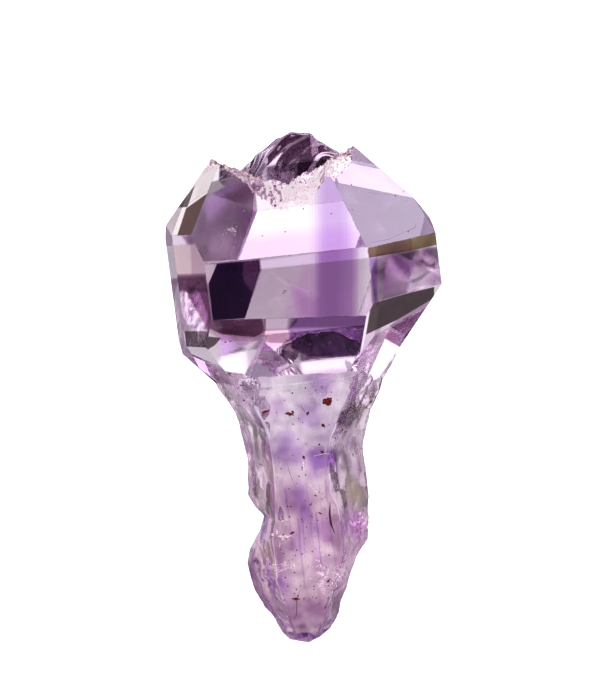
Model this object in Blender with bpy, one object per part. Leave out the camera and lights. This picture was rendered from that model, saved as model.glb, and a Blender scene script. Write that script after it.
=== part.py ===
"""Amethyst scepter: a stubby quartz head with a broken, hollowed top on a thinner stem.

The crystal is designed upright in its own lattice frame, in millimetres: +Z is the long axis of
the quartz lattice, -Y is the front prism face, and the stem runs down along -Z. At the end it is
laid on its back and scaled to metres, with the floor at z = 0 and the head towards +Y.
"""
import math

import bmesh
import bpy
from mathutils import Matrix, Vector, noise

# Driving dimensions, in millimetres and degrees
MILLIMETRE = 0.001
RHOMB_SLOPE = 38.2          # a quartz rhombohedral face's normal, up or down from the prism's
ROUGH_BLOCK = 40.0          # edge of the block that the head is cut from
CUT_TOLERANCE = 1e-5

# Crystal faces of the head: azimuth from the front (positive to the right), elevation of the
# normal, and distance from the lattice origin
PRISM_FACES = {
    "front": (0.0, 0.0, 5.20),
    "front_right": (60.0, 0.0, 6.79),
    "front_left": (-60.0, 0.0, 6.60),
    "left_strip": (-72.0, 0.0, 6.99),
    "right_strip": (100.0, 0.0, 8.33),
    "back_right": (120.0, 0.0, 8.60),
    "back_left": (-120.0, 0.0, 7.70),
    "back": (180.0, 0.0, 10.50),
}
UPPER_FACES = {
    "front": (0.6, 38.7, 5.58),
    "front_right": (59.4, RHOMB_SLOPE, 6.77),
    "front_left": (-60.1, 37.8, 7.77),
    "right_shoulder": (90.0, 28.5, 8.46),
    "back_right": (120.0, RHOMB_SLOPE, 8.53),
    "back_left": (-120.0, RHOMB_SLOPE, 8.45),
    "back": (180.0, RHOMB_SLOPE, 10.20),
}
LOWER_FACES = {
    "front": (-3.9, -37.6, 4.83),
    "front_right": (61.2, -35.2, 6.01),
    "front_left": (-59.4, -37.5, 6.71),
    "back_right": (120.0, -RHOMB_SLOPE, 6.43),
    "back_left": (-120.0, -RHOMB_SLOPE, 7.42),
    "back": (180.0, -RHOMB_SLOPE, 7.57),
}
HEAD_BOTTOM = -6.6          # the lower faces end here, inside the neck

# The hollow in the head's top, as lines that run from left to right across it, front to back
LIP_LINE = [
    (-6.0, -2.2, 9.8), (-3.95, -1.6, 8.15), (-2.9, -2.1, 6.9), (-2.3, -2.5, 6.3),
    (-1.6, -3.3, 5.3), (-0.4, -4.4, 3.9), (0.6, -4.4, 3.9), (1.5, -4.5, 3.9), (1.9, -4.2, 4.5),
    (2.8, -3.6, 5.7), (3.4, -1.8, 6.2), (3.95, -0.8, 6.2), (4.5, 0.7, 6.6), (4.8, 1.2, 7.6),
    (6.2, 1.0, 8.6),
]
RIM_LINE = [
    (-6.0, -0.5, 9.6), (-4.0, -0.3, 8.05), (-2.45, -0.9, 7.41), (-1.65, -1.2, 6.96),
    (-0.5, -1.5, 6.54), (0.3, -1.6, 6.33), (0.9, -1.4, 6.71), (1.6, -1.0, 6.80), (2.6, -0.2, 7.33),
    (3.3, 0.8, 7.55), (3.9, 1.95, 7.95), (4.5, 2.1, 7.45), (6.0, 2.4, 9.4),
]
FLOOR_LINE = [
    (-6.0, 1.2, 9.4), (-4.1, 1.0, 7.95), (-3.0, 0.7, 7.15), (-1.9, 0.6, 6.1), (0.0, 0.6, 5.5),
    (1.6, 0.9, 5.75), (2.8, 1.6, 6.6), (3.9, 2.6, 7.8), (6.0, 3.2, 9.4),
]
WALL_FOOT_LINE = [
    (-6.0, 3.2, 9.2), (-4.0, 3.0, 7.6), (-2.9, 2.8, 6.4), (-1.2, 2.6, 5.6), (0.7, 2.7, 5.5),
    (2.1, 3.1, 6.3), (3.1, 3.6, 7.2), (4.0, 4.0, 8.2), (6.0, 4.2, 9.4),
]
WALL_TOP_LINE = [
    (-6.0, 4.5, 6.6), (-3.3, 4.5, 7.31), (-2.17, 4.6, 8.14), (-0.88, 4.7, 8.99), (0.0, 4.7, 9.2),
    (1.2, 4.6, 9.08), (1.6, 4.5, 8.53), (2.2, 4.4, 8.10), (2.83, 4.3, 7.6), (4.2, 4.4, 7.9),
    (6.0, 4.6, 9.4),
]
BACK_LINE = [
    (-6.0, 9.0, 5.4), (-3.3, 9.0, 6.6), (-0.9, 9.0, 8.3), (0.5, 9.0, 8.6), (1.7, 9.0, 8.1),
    (3.0, 9.0, 7.5), (6.0, 9.0, 9.0),
]
HOLLOW_COLUMNS = 46
HOLLOW_ROWS_PER_BAND = 6
HOLLOW_LID = 14.0           # the cutter is closed above the head at this height
HOLLOW_ROUGHNESS = 0.16     # height of the sugary grains on the rim
WALL_ROUGHNESS = 0.04       # the wall behind the hollow is smoother
HOLLOW_GRAIN = 0.55         # width of the grains

# Stem, from inside the head down the lattice axis: height, left side, left and right corner of the
# front face, right side, front face and back face
STEM_STATIONS = [
    (-3.4, -5.6, -2.6, 2.0, 4.9, -1.2, 5.2),
    (-4.2, -6.45, -3.6, 2.7, 5.28, -2.1, 6.1),
    (-4.6, -6.30, -3.95, 2.95, 5.12, -2.40, 5.9),
    (-5.2, -5.82, -3.90, 2.92, 4.70, -2.60, 5.55),
    (-5.9, -5.38, -3.55, 2.55, 4.15, -2.52, 5.05),
    (-6.7, -5.04, -3.15, 2.10, 3.70, -2.42, 4.65),
    (-7.7, -4.66, -2.75, 1.45, 3.15, -2.32, 4.30),
    (-8.7, -4.56, -2.64, 0.95, 2.72, -2.24, 4.10),
    (-9.7, -4.55, -2.62, 0.70, 2.44, -2.18, 4.00),
    (-11.0, -4.64, -2.72, 0.58, 2.50, -2.12, 4.05),
    (-11.9, -4.74, -2.80, 0.52, 2.44, -2.10, 4.05),
    (-12.7, -4.46, -2.88, 0.85, 2.40, -2.02, 3.95),
    (-13.25, -4.12, -2.95, 0.86, 2.36, -1.98, 3.80),
    (-13.7, -4.28, -3.05, 0.86, 2.34, -2.00, 3.75),
    (-14.3, -4.58, -3.15, 0.86, 2.30, -2.00, 3.80),
    (-15.3, -5.10, -3.22, 0.85, 2.00, -1.90, 3.90),
    (-16.0, -5.36, -3.30, 0.70, 1.50, -1.80, 3.85),
    (-16.9, -5.22, -3.35, 0.28, 1.05, -1.62, 3.60),
    (-17.9, -4.94, -3.25, -0.20, 0.48, -1.35, 3.25),
    (-18.8, -4.66, -3.10, -0.62, -0.05, -1.00, 2.85),
    (-19.6, -4.10, -2.95, -1.00, -0.34, -0.70, 2.45),
    (-20.4, -3.82, -2.80, -1.50, -0.85, -0.30, 1.95),
    (-20.9, -3.35, -2.65, -1.85, -1.45, 0.10, 1.55),
]
STEM_TIP = (-2.3, 0.8, -21.2)
STEM_SIDE_DEPTH = 0.85      # the side corners lie this far behind the lattice axis
STEM_BACK_WIDTH = 0.62      # the back face's share of the stem's width
STEM_POINTS_PER_SIDE = 6
STEM_RINGS = 60
STEM_ROUGHNESS = 0.15       # height of the lumps
STEM_GRAIN = 1.3            # width of the lumps; they are drawn out down the stem
STEM_STRETCH = 2.0
FLUTE_DEPTH = 0.14          # shallow hollow along each side of the stem
LEDGE_DEPTH = 0.12          # terraces that growth and etching left on it
LEDGE_WIDTH = 1.1
LEDGE_STEPS = 3.0

QUARTZ_COLOUR = (0.62, 0.45, 0.74, 1.0)
QUARTZ_ROUGHNESS = 0.06


def clear_scene():
    for item in list(bpy.data.objects):
        bpy.data.objects.remove(item, do_unlink=True)


def face_normal(azimuth, elevation):
    turn, rise = math.radians(azimuth), math.radians(elevation)
    return Vector((
        math.sin(turn) * math.cos(rise),
        -math.cos(turn) * math.cos(rise),
        math.sin(rise),
    ))


def cut_flat(mesh, point, normal):
    """Cut away everything beyond a plane and close the cut with one flat face."""
    everything = mesh.verts[:] + mesh.edges[:] + mesh.faces[:]
    bmesh.ops.bisect_plane(
        mesh, geom=everything, dist=CUT_TOLERANCE, plane_co=point, plane_no=normal,
        clear_outer=True,
    )
    rim = [edge for edge in mesh.edges if edge.is_boundary]
    if rim:
        bmesh.ops.edgeloop_fill(mesh, edges=rim)


def crystal_head():
    """The head with every face whole, as if its top had never broken."""
    mesh = bmesh.new()
    bmesh.ops.create_cube(mesh, size=ROUGH_BLOCK)
    for faces in (PRISM_FACES, UPPER_FACES, LOWER_FACES):
        for azimuth, elevation, distance in faces.values():
            normal = face_normal(azimuth, elevation)
            cut_flat(mesh, normal * distance, normal)
    cut_flat(mesh, Vector((0.0, 0.0, HEAD_BOTTOM)), Vector((0.0, 0.0, -1.0)))
    bmesh.ops.recalc_face_normals(mesh, faces=mesh.faces)
    return mesh


def along(line, position):
    """Point at a left-to-right position, given as an x value, on a line of points."""
    if position <= line[0][0]:
        return Vector(line[0])
    for start, end in zip(line, line[1:]):
        if position <= end[0]:
            share = (position - start[0]) / (end[0] - start[0])
            return Vector(start).lerp(Vector(end), share)
    return Vector(line[-1])


def grain(point, size, seed):
    """Faceted noise between -1 and 1: flat-topped cells of one size, as sugary quartz has."""
    place = point / size + Vector((seed, 0.37 * seed, 1.7 * seed))
    near, far = noise.voronoi(place)[0][:2]
    return 1.0 - 2.0 * near + 0.5 * (far - near)


def hollow_surface():
    """Rows of points over the hollow: down the broken rim, over the floor, up the wall."""
    lines = [LIP_LINE, RIM_LINE, FLOOR_LINE, WALL_FOOT_LINE, WALL_TOP_LINE, BACK_LINE]
    left, right = RIM_LINE[0][0], RIM_LINE[-1][0]
    rough = [HOLLOW_ROUGHNESS, HOLLOW_ROUGHNESS, HOLLOW_ROUGHNESS, WALL_ROUGHNESS, WALL_ROUGHNESS,
             WALL_ROUGHNESS]
    rows = []
    for band in range(len(lines) - 1):
        last = band == len(lines) - 2
        for step in range(HOLLOW_ROWS_PER_BAND + last):
            share = step / HOLLOW_ROWS_PER_BAND
            height = rough[band] + (rough[band + 1] - rough[band]) * share
            row = []
            for column in range(HOLLOW_COLUMNS + 1):
                across = left + (right - left) * column / HOLLOW_COLUMNS
                front, back = along(lines[band], across), along(lines[band + 1], across)
                point = front.lerp(back, share)
                point.x = across
                point.z += height * grain(point, HOLLOW_GRAIN, 3.0)
                row.append(point)
            rows.append(row)
    return rows


def hollow_cutter():
    """Closed solid above the hollow's surface."""
    mesh = bmesh.new()
    rows = [[mesh.verts.new(point) for point in row] for row in hollow_surface()]
    for front, back in zip(rows, rows[1:]):
        for j in range(len(front) - 1):
            mesh.faces.new((front[j], front[j + 1], back[j + 1], back[j]))
    bmesh.ops.triangulate(mesh, faces=mesh.faces)
    raised = bmesh.ops.extrude_face_region(mesh, geom=mesh.faces[:], use_keep_orig=True)
    for item in raised["geom"]:
        if isinstance(item, bmesh.types.BMVert):
            item.co.z = HOLLOW_LID
    bmesh.ops.recalc_face_normals(mesh, faces=mesh.faces)
    return mesh


def station_at(height):
    """The stem's outline at one height, between the two nearest stations."""
    for above, below in zip(STEM_STATIONS, STEM_STATIONS[1:]):
        if height >= below[0]:
            share = (above[0] - height) / (above[0] - below[0])
            return [a + (b - a) * share for a, b in zip(above[1:], below[1:])]
    return list(STEM_STATIONS[-1][1:])


def stem_relief(point):
    """Height of the lumps and terraces on the stem at one point."""
    place = Vector((point.x, point.y, point.z / STEM_STRETCH))
    lump = noise.noise(place / STEM_GRAIN)
    terrace = noise.noise((point + Vector((7.0, 3.0, 5.0))) / LEDGE_WIDTH)
    return STEM_ROUGHNESS * lump + LEDGE_DEPTH * math.floor(LEDGE_STEPS * terrace) / LEDGE_STEPS


def stem_ring(height):
    """One six-sided cross-section of the stem, with a shallow flute along each side."""
    left, front_left, front_right, right, front, back = station_at(height)
    middle = Vector(((left + right) / 2, STEM_SIDE_DEPTH, height))
    reach = STEM_BACK_WIDTH * (right - left) / 2
    corners = [
        Vector((front_left, front, height)), Vector((front_right, front, height)),
        Vector((right, middle.y, height)), Vector((middle.x + reach, back, height)),
        Vector((middle.x - reach, back, height)), Vector((left, middle.y, height)),
    ]
    ring = []
    for start, end in zip(corners, corners[1:] + corners[:1]):
        for step in range(STEM_POINTS_PER_SIDE):
            share = step / STEM_POINTS_PER_SIDE
            point = start.lerp(end, share)
            outward = (point - middle).normalized()
            flute = -FLUTE_DEPTH * math.sin(math.pi * share)
            ring.append(point + outward * (flute + stem_relief(point)))
    return ring


def crystal_stem():
    """The stem from inside the head down to its broken foot."""
    mesh = bmesh.new()
    top, bottom = STEM_STATIONS[0][0], STEM_STATIONS[-1][0]
    rings = []
    for index in range(STEM_RINGS + 1):
        height = top + (bottom - top) * index / STEM_RINGS
        rings.append([mesh.verts.new(point) for point in stem_ring(height)])
    for upper, lower in zip(rings, rings[1:]):
        for j in range(len(upper)):
            k = (j + 1) % len(upper)
            mesh.faces.new((upper[j], lower[j], lower[k], upper[k]))
    tip = mesh.verts.new(STEM_TIP)
    for j in range(len(rings[-1])):
        mesh.faces.new((rings[-1][j], tip, rings[-1][(j + 1) % len(rings[-1])]))
    mesh.faces.new(rings[0])
    bmesh.ops.triangulate(mesh, faces=mesh.faces)
    bmesh.ops.recalc_face_normals(mesh, faces=mesh.faces)
    return mesh


def solid(name, mesh):
    data = bpy.data.meshes.new(name)
    mesh.to_mesh(data)
    mesh.free()
    item = bpy.data.objects.new(name, data)
    bpy.context.scene.collection.objects.link(item)
    return item


def combine(target, other, operation):
    """Join or cut two solids and remove the second."""
    step = target.modifiers.new(operation.title(), "BOOLEAN")
    step.operation = operation
    step.solver = "EXACT"
    step.object = other
    evaluated = target.evaluated_get(bpy.context.evaluated_depsgraph_get())
    result = bpy.data.meshes.new_from_object(evaluated)
    target.modifiers.clear()
    target.data = result
    bpy.data.objects.remove(other, do_unlink=True)


def lay_down(points):
    """Matrix that lays the crystal on its back, on the floor, and turns millimetres to metres.

    It rests on the lower edge of its back prism face and on the back of the stem.
    """
    edge = max(points, key=lambda p: (round(p.y, 3), -p.z))
    stem = [p for p in points if p.z < HEAD_BOTTOM]
    tilt = min(math.atan2(edge.y - p.y, edge.z - p.z) for p in stem)
    turned = Matrix.Rotation(tilt - math.pi / 2, 4, "X")
    placed = [turned @ p for p in points]
    low = Vector([min(p[axis] for p in placed) for axis in range(3)])
    high = Vector([max(p[axis] for p in placed) for axis in range(3)])
    middle = (low + high) / 2
    shift = Matrix.Translation((-middle.x, -middle.y, -low.z))
    return Matrix.Scale(MILLIMETRE, 4) @ shift @ turned


def quartz_material():
    material = bpy.data.materials.new("amethyst")
    material.use_nodes = True
    shader = material.node_tree.nodes["Principled BSDF"]
    shader.inputs["Base Color"].default_value = QUARTZ_COLOUR
    shader.inputs["Roughness"].default_value = QUARTZ_ROUGHNESS
    shader.inputs["Metallic"].default_value = 0.0
    material.diffuse_color = QUARTZ_COLOUR
    return material


def build():
    clear_scene()
    crystal = solid("scepter_crystal", crystal_head())
    combine(crystal, solid("hollow_cutter", hollow_cutter()), "DIFFERENCE")
    combine(crystal, solid("stem", crystal_stem()), "UNION")
    placing = lay_down([vertex.co.copy() for vertex in crystal.data.vertices])
    crystal.data.transform(placing)
    crystal.data.materials.clear()
    crystal.data.materials.append(quartz_material())
    return crystal, placing


CRYSTAL, PLACING = build()
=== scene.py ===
"""Amethyst scepter: clear quartz with colour zones, veils and mineral grains inside it.

Shapes are designed upright in the crystal's own lattice frame, in millimetres: +Z is the long axis
of the quartz lattice, -Y is the front prism face and the stem runs down along -Z. PLACING lays them
on the floor in metres, where the solid model lies.
"""
import math
import random

import bmesh
import bpy
from mathutils import Matrix, Vector, noise


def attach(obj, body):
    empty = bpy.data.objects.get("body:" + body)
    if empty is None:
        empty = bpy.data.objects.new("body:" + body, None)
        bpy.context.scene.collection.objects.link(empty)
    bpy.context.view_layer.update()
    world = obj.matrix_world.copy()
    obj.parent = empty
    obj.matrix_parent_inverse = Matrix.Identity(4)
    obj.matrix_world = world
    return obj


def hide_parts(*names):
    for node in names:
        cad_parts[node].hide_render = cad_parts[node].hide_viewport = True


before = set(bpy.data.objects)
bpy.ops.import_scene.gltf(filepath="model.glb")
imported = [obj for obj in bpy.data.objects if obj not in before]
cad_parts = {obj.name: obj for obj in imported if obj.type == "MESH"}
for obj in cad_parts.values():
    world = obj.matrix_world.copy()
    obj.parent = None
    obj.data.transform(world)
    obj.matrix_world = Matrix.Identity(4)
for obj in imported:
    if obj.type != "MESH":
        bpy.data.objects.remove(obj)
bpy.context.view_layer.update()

# How the crystal lies: turned back about X, then moved, in millimetres
MILLIMETRE = 0.001
LAY_TURN = -69.0397
LAY_SHIFT = (-0.2045, 4.4991, 9.4410)
PLACING = (
    Matrix.Scale(MILLIMETRE, 4) @ Matrix.Translation(LAY_SHIFT)
    @ Matrix.Rotation(math.radians(LAY_TURN), 4, "X")
)

# Crystal faces of the head: azimuth from the front, elevation of the normal, distance
ROUGH_BLOCK = 40.0
CUT_TOLERANCE = 1e-5
HEAD_FACES = {
    "front": (0.0, 0.0, 5.20),
    "front_right": (60.0, 0.0, 6.79),
    "front_left": (-60.0, 0.0, 6.60),
    "left_strip": (-72.0, 0.0, 6.99),
    "right_strip": (100.0, 0.0, 8.33),
    "back_right": (120.0, 0.0, 8.60),
    "back_left": (-120.0, 0.0, 7.70),
    "back": (180.0, 0.0, 10.50),
    "upper_front": (0.6, 38.7, 5.58),
    "upper_front_right": (59.4, 38.2, 6.77),
    "upper_front_left": (-60.1, 37.8, 7.77),
    "right_shoulder": (90.0, 28.5, 8.46),
    "upper_back_right": (120.0, 38.2, 8.53),
    "upper_back_left": (-120.0, 38.2, 8.45),
    "upper_back": (180.0, 38.2, 10.20),
    "lower_front": (-3.9, -37.6, 4.83),
    "lower_front_right": (61.2, -35.2, 6.01),
    "lower_front_left": (-59.4, -37.5, 6.71),
    "lower_back_right": (120.0, -38.2, 6.43),
    "lower_back_left": (-120.0, -38.2, 7.42),
    "lower_back": (180.0, -38.2, 7.57),
}
# Violet colour and painted shade under single faces, as the colour of what they let through
FACE_TINTS_AND_SHADE = {
    "front": (0.198, 0.140, 0.194),
    "upper_front_right": (0.31, 0.245, 0.38),
    "upper_front_left": (0.96, 0.94, 0.82),
}
# Patches under single faces, violet colour zones together with painted shade and painted
# highlights: light let through against the rest of the face, half width of the soft edge,
# convex outline on the face; overlapping patches add up
ZONES_AND_PAINTED_LIGHT = {
    "upper_front": [
        # violet zone, in two layers that overlap
        ((0.8, 0.68, 0.89), 0.45,
         [(1.93, -1.1, 7.53), (4.16, -1.29, 7.26), (4.07, -6.16, 1.19), (1.84, -5.98, 1.44)]),
        ((0.8, 0.7, 0.88), 0.4,
         [(2.28, -1.13, 7.49), (3.75, -1.25, 7.31), (3.67, -6.12, 1.23), (2.12, -6.0, 1.41)]),
        # painted lilac shade along the lower edge
        ((0.9, 0.76, 0.96), 0.5,
         [(-2.76, -4.21, 3.71), (5.15, -4.28, 3.51), (5.38, -6.18, 1.15), (-3.13, -5.58, 2.0)]),
        # painted grey violet shade as a block at the left
        ((0.46, 0.44, 0.45), 0.0,
         [(-5.09, -1.86, 6.66), (-4.43, -1.6, 6.98), (-2.7, -1.38, 7.23), (-1.65, -2.11, 6.31),
          (-1.74, -3.18, 4.98), (-2.71, -5.18, 2.5), (-5.46, -5.04, 2.7), (-5.69, -3.88, 4.16)]),
    ],
    "front": [
        # violet zone in two layers, and a painted highlight as the pale margin beside it
        ((0.62, 0.42, 0.72), 0.22,
         [(2.1, -5.2, 3.31), (4.26, -5.2, 3.04), (3.53, -5.2, -2.28), (1.36, -5.2, -2.03)]),
        ((0.76, 0.63, 0.82), 0.5,
         [(2.13, -5.2, 3.3), (3.64, -5.2, 3.12), (2.9, -5.2, -2.21), (1.39, -5.2, -2.03)]),
        ((1.3, 1.45, 1.32), 0.3,
         [(4.54, -5.2, 2.49), (5.33, -5.2, 2.4), (4.78, -5.2, -1.97), (3.93, -5.2, -1.87)]),
        # painted highlight as a paler band along the upper edge
        ((1.42, 1.44, 1.52), 0.06,
         [(-1.46, -5.2, 2.29), (5.1, -5.2, 2.4), (4.96, -5.2, 1.7), (-1.54, -5.2, 1.84)]),
        # violet wedge, in two layers
        ((0.96, 0.78, 0.98), 0.3,
         [(1.03, -5.2, 1.71), (1.88, -5.2, 1.6), (1.42, -5.2, -1.58), (-0.47, -5.2, -1.35)]),
        ((0.84, 0.68, 0.88), 0.25,
         [(0.15, -5.2, 0.77), (1.63, -5.2, -0.33), (1.42, -5.2, -1.58), (0.5, -5.2, -1.06)]),
        # painted shade as a dark block at the left, in two parts
        ((0.05, 0.016, 0.09), 0.0,
         [(-3.89, -5.2, 2.41), (-2.38, -5.2, 2.37), (-2.8, -5.2, -0.86), (-4.55, -5.2, -0.79),
          (-4.53, -5.2, 1.33)]),
        ((0.06, 0.02, 0.1), 0.0,
         [(-2.52, -5.2, 1.32), (-2.04, -5.2, 0.51), (-2.68, -5.2, -0.86), (-2.8, -5.2, -0.86)]),
        # its lighter part, also painted shade, and a painted highlight as the pale gap beside it
        ((0.2, 0.09, 0.22), 0.0,
         [(-2.38, -5.2, 2.37), (-1.42, -5.2, 2.34), (-1.47, -5.2, 1.71), (-2.04, -5.2, 0.51),
          (-2.52, -5.2, 1.32)]),
        ((1.8, 1.95, 1.7), 0.04,
         [(-4.9, -5.2, 2.5), (-3.89, -5.2, 2.41), (-4.53, -5.2, 1.33), (-4.9, -5.2, 1.3)]),
    ],
    "lower_front": [
        # painted light and shade: a pale block, a dark violet block and its greyer top
        ((0.46, 0.39, 0.46), 0.03,
         [(-1.58, -5.26, -0.96), (0.34, -5.34, -1.03), (0.25, -5.0, -1.46), (-0.32, -4.63, -1.89),
          (-1.72, -4.61, -1.79)]),
        ((0.34, 0.2, 0.42), 0.1,
         [(-0.05, -4.96, -1.48), (0.37, -5.34, -1.04), (4.68, -5.52, -1.18), (4.09, -3.45, -3.81),
          (2.96, -3.3, -3.9), (0.51, -3.28, -3.71), (-0.4, -3.75, -3.02), (-0.32, -4.63, -1.89)]),
        ((0.38, 0.3, 0.38), 0.12,
         [(-0.35, -4.73, -1.76), (-0.02, -5.49, -0.8), (4.83, -5.66, -1.01), (4.52, -4.66, -2.28)]),
        # plum, reddish and rosy bands of painted shade
        ((0.8, 0.52, 0.66), 0.25,
         [(-1.89, -4.62, -1.77), (-0.32, -4.63, -1.89), (-0.42, -3.9, -2.83), (-1.76, -3.88, -2.74)]),
        ((0.25, 0.15, 0.2), 0.05,
         [(-5.02, -5.51, -0.33), (-1.44, -5.43, -0.76), (-1.69, -4.61, -1.79), (-2.38, -4.33, -2.09),
          (-4.24, -4.52, -1.68), (-5.21, -4.94, -1.06)]),
        ((0.74, 0.6, 0.64), 0.1,
         [(-5.04, -4.74, -1.33), (-1.89, -4.62, -1.77), (-2.03, -4.13, -2.39), (-4.35, -4.18, -2.11)]),
        # painted faint shade, and painted grey shade in the corner at the foot
        ((0.78, 0.7, 0.77), 0.2,
         [(-1.53, -3.87, -2.76), (-0.26, -3.84, -2.91), (0.15, -3.24, -3.73), (-1.73, -3.19, -3.64)]),
        ((0.16, 0.13, 0.14), 0.03,
         [(-5.31, -4.45, -1.68), (-4.36, -4.33, -1.92), (-4.81, -4.0, -2.31), (-5.56, -3.67, -2.67)]),
    ],
    "upper_front_right": [
        # painted lighter upper margin
        ((0.9, 0.94, 0.9), 0.35,
         [(3.92, 1.89, 7.88), (8.14, 3.48, 4.3), (8.03, 2.13, 3.55), (6.34, 1.5, 4.98),
          (4.47, 0.41, 6.33)]),
    ],
    "front_right": [
        # brown and olive margin
        ((0.24, 0.165, 0.105), 0.0,
         [(4.85, -5.17, 2.28), (7.08, -1.32, 2.33), (7.0, -1.45, 1.62), (4.79, -5.28, 1.72)]),
        ((0.32, 0.27, 0.13), 0.0,
         [(7.08, -1.32, 2.33), (8.55, 1.23, 2.4), (8.47, 1.08, 1.65), (7.0, -1.45, 1.62)]),
        # darker upper half and violet margin
        ((0.68, 0.6, 0.66), 0.3,
         [(4.94, -5.03, 1.69), (8.09, 0.44, 2.09), (8.11, 0.46, 0.31), (4.81, -5.26, 0.45)]),
        ((0.52, 0.36, 0.72), 0.1,
         [(4.79, -5.28, 1.71), (5.25, -4.48, 1.71), (4.96, -5.0, -0.91), (4.47, -5.83, -0.78)]),
    ],
    "lower_front_right": [
        # painted shade as a dark band, then a violet patch and a pink strip
        ((0.09, 0.07, 0.07), 0.03,
         [(4.71, -5.57, -0.77), (7.88, 0.19, -0.77), (7.73, 0.96, -1.47), (5.65, -1.64, -2.29),
          (4.0, -4.02, -2.72)]),
        ((0.53, 0.4, 0.52), 0.03,
         [(5.65, -1.64, -2.29), (7.73, 0.96, -1.47), (5.9, 0.58, -3.49), (5.18, -2.1, -2.55)]),
        ((0.75, 0.63, 0.75), 0.06,
         [(4.0, -4.02, -2.72), (4.86, -2.87, -2.44), (3.85, -2.08, -4.22), (3.17, -2.77, -4.6)]),
    ],
    "upper_front_left": [
        # brown quadrangle and grey strip
        ((0.125, 0.075, 0.07), 0.0,
         [(-4.29, -2.21, 6.47), (-6.05, -0.46, 5.61), (-6.55, -1.9, 4.13), (-5.29, -4.27, 4.02)]),
        ((0.16, 0.14, 0.15), 0.02,
         [(-5.51, 0.58, 6.89), (-6.74, 0.85, 5.68), (-5.94, -0.54, 5.69), (-5.68, 0.11, 6.4)]),
    ],
    "front_left": [
        # rosy side, plum band, reddish middle and grey foot
        ((0.75, 0.66, 0.76), 0.15,
         [(-5.49, -3.69, 4.12), (-4.2, -5.93, 4.11), (-3.9, -6.44, 1.8), (-5.75, -3.23, 1.78)]),
        ((0.22, 0.11, 0.19), 0.12,
         [(-8.48, 1.48, 1.72), (-3.64, -6.9, 1.93), (-3.81, -6.6, 0.95), (-8.65, 1.79, 0.81)]),
        ((0.42, 0.22, 0.38), 0.12,
         [(-6.56, -1.83, 0.99), (-3.79, -6.63, 1.07), (-4.24, -5.86, -1.43), (-5.21, -4.18, -1.49),
          (-5.69, -3.34, -0.57), (-6.11, -2.62, 0.3)]),
        ((0.25, 0.23, 0.23), 0.03,
         [(-7.72, 0.17, -1.57), (-4.39, -5.59, -1.41), (-4.61, -5.22, -2.62), (-7.96, 0.58, -2.85)]),
    ],
}
SOFT_STEPS = 5
SLIVER = 1e-5
FACE_REACH = 0.003
SAME_WAY = 0.9999
SHARP_TURN = 0.995
# Etched roughness of the faces that lie in the shade of the head's back
FACE_ETCH = {
    "back_left": 0.10, "back_right": 0.05, "back": 0.01, "lower_back": 0.01,
    "lower_back_left": 0.05, "lower_back_right": 0.05, "upper_back": 0.03,
    "upper_back_left": 0.02, "upper_back_right": 0.03, "front_right": 0.10, "front_left": 0.07,
}
# How strongly the clouds of colour show on single faces and on all others
FACE_CLOUDS = {"front_right": 1.0, "front": 0.10, "upper_front": 0.06, "back": 0.05, "lower_back": 0.05}
OTHER_CLOUDS = 0.12
STEM_CLOUDS_SHARE = 0.35
CLOUD_COLOUR = (0.50, 0.36, 0.52)
CLOUD_NOISE = {"Scale": 560.0, "Detail": 4.0, "Roughness": 0.55}
CLOUD_RANGE = {"From Min": 0.36, "From Max": 0.64}
QUARTZ_IOR = 1.545
QUARTZ_COLOUR = (0.62, 0.37, 0.62)
QUARTZ_DENSITY = 28.0
HEAD_BOTTOM = -6.6

# The hollow in the head's top, as lines from left to right across it, front to back
LIP_LINE = [
    (-6.0, -2.2, 9.8), (-3.95, -1.6, 8.15), (-2.9, -2.1, 6.9), (-2.3, -2.5, 6.3),
    (-1.6, -3.3, 5.3), (-0.4, -4.4, 3.9), (0.6, -4.4, 3.9), (1.5, -4.5, 3.9), (1.9, -4.2, 4.5),
    (2.8, -3.6, 5.7), (3.4, -1.8, 6.2), (3.95, -0.8, 6.2), (4.5, 0.7, 6.6), (4.8, 1.2, 7.6),
    (6.2, 1.0, 8.6),
]
RIM_LINE = [
    (-6.0, -0.5, 9.6), (-4.0, -0.3, 8.05), (-2.45, -0.9, 7.41), (-1.65, -1.2, 6.96),
    (-0.5, -1.5, 6.54), (0.3, -1.6, 6.33), (0.9, -1.4, 6.71), (1.6, -1.0, 6.80), (2.6, -0.2, 7.33),
    (3.3, 0.8, 7.55), (3.9, 1.95, 7.95), (4.5, 2.1, 7.45), (6.0, 2.4, 9.4),
]
FLOOR_LINE = [
    (-6.0, 1.2, 9.4), (-4.1, 1.0, 7.95), (-3.0, 0.7, 7.15), (-1.9, 0.6, 6.1), (0.0, 0.6, 5.5),
    (1.6, 0.9, 5.75), (2.8, 1.6, 6.6), (3.9, 2.6, 7.8), (6.0, 3.2, 9.4),
]
WALL_FOOT_LINE = [
    (-6.0, 3.2, 9.2), (-4.0, 3.0, 7.6), (-2.9, 2.8, 6.4), (-1.2, 2.6, 5.6), (0.7, 2.7, 5.5),
    (2.1, 3.1, 6.3), (3.1, 3.6, 7.2), (4.0, 4.0, 8.2), (6.0, 4.2, 9.4),
]
WALL_TOP_LINE = [
    (-6.0, 4.5, 6.6), (-3.3, 4.5, 7.31), (-2.17, 4.6, 8.14), (-0.88, 4.7, 8.99), (0.0, 4.7, 9.2),
    (1.2, 4.6, 9.08), (1.6, 4.5, 8.53), (2.2, 4.4, 8.10), (2.83, 4.3, 7.6), (4.2, 4.4, 7.9),
    (6.0, 4.6, 9.4),
]
BACK_LINE = [
    (-6.0, 9.0, 5.4), (-3.3, 9.0, 6.6), (-0.9, 9.0, 8.3), (0.5, 9.0, 8.6), (1.7, 9.0, 8.1),
    (3.0, 9.0, 7.5), (6.0, 9.0, 9.0),
]
HOLLOW_COLUMNS = 200
HOLLOW_ROWS_PER_BAND = 24
HOLLOW_LID = 14.0
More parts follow.
